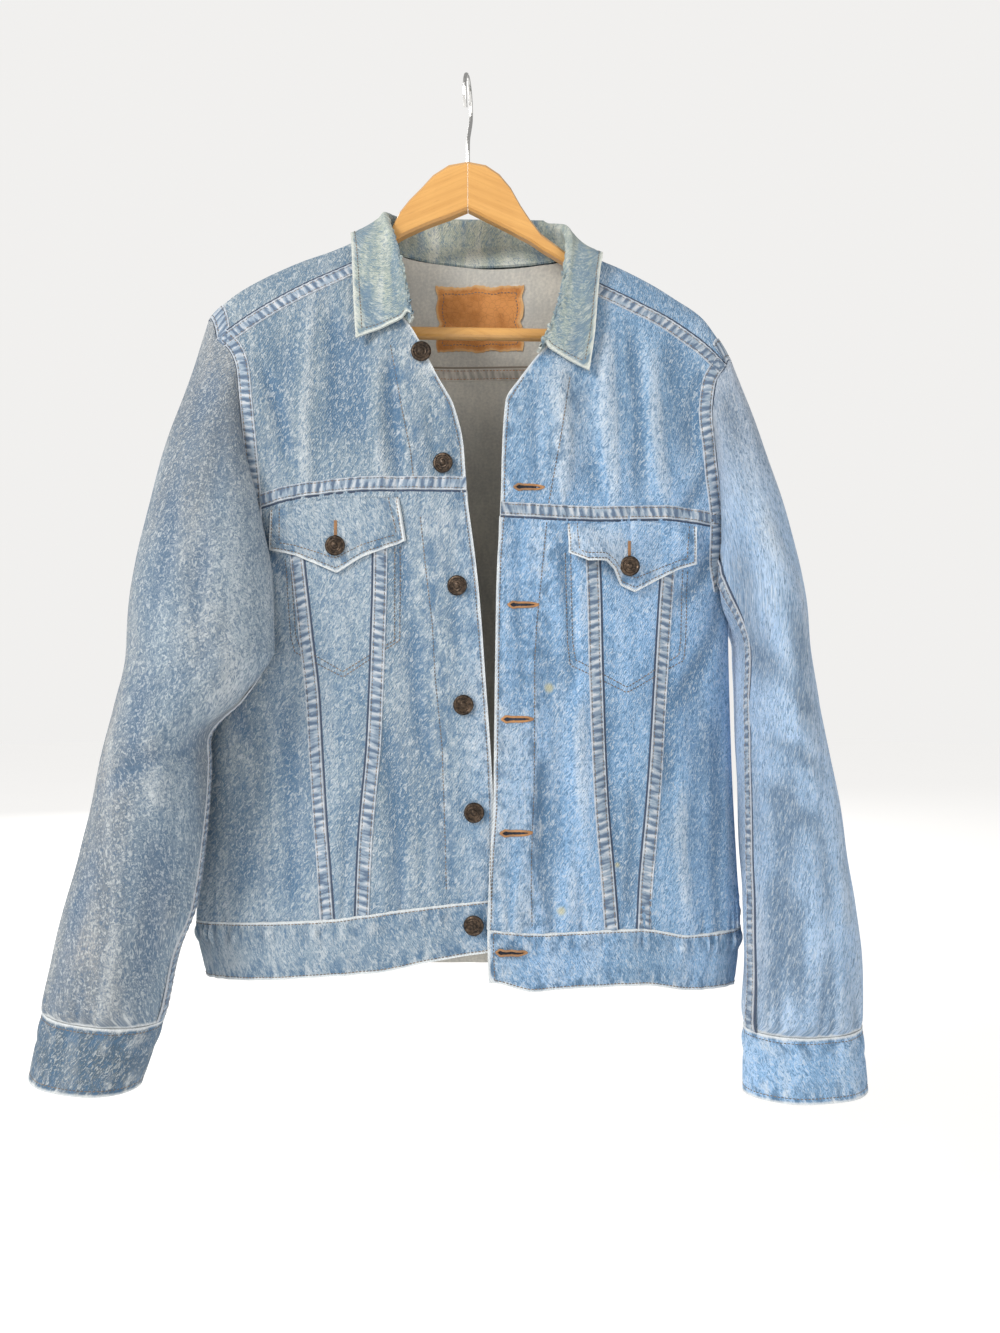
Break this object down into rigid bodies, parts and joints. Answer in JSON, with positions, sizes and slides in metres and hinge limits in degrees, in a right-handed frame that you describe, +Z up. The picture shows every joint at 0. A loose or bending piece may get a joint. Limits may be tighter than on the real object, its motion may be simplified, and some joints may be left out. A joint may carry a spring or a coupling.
{
  "type": "denim jacket on a wooden hanger",
  "caption": "Long-sleeved denim jacket, worn open, hanging on a wooden hanger with a wire hook and a trouser bar.",
  "frame": {"origin": "inside top of the hanger's hook, where it bears on the rail", "axes": "+Z up; the jacket's front faces -Y; +X towards the wearer's left side"},
  "size_m": [0.7072, 0.1658, 0.8915],
  "materials": {
    "denim": "washed indigo twill, worn pale at the seams",
    "button_metal": "dark aged bronze",
    "patch_leather": "worn, plain",
    "hanger_wood": "clear varnish",
    "hook_steel": "bright wire"
  },
  "bodies": {
    "root": {"front_yoke_right": "denim", "front_yoke_left": "denim", "front_side_right": "denim", "front_side_left": "denim", "front_taper_right": "denim", "front_taper_left": "denim", "front_centre_right": "denim", "front_centre_left": "denim", "back_side_right": "denim", "back_side_left": "denim", "top_sleeve_right": "denim", "top_sleeve_left": "denim", "under_sleeve_right": "denim", "under_sleeve_left": "denim", "cuff_right": "denim", "cuff_left": "denim", "pocket_flap_right": "denim", "pocket_flap_left": "denim", "back_yoke": "denim", "back_centre": "denim", "waistband": "denim", "collar": "denim", "under_sleeve_left_lower": "denim", "cuff_button_right": "button_metal", "cuff_button_left": "button_metal", "flap_button_right": "button_metal", "flap_button_left": "button_metal", "front_button_neck": "button_metal", "front_button_yoke": "button_metal", "front_button_chest": "button_metal", "front_button_middle": "button_metal", "front_button_waist": "button_metal", "band_button": "button_metal", "leather_patch": "patch_leather", "hanger_arm_right": "hanger_wood", "hanger_arm_left": "hanger_wood", "trouser_bar": "hanger_wood", "hook": "hook_steel"}
  },
  "joints": []
}
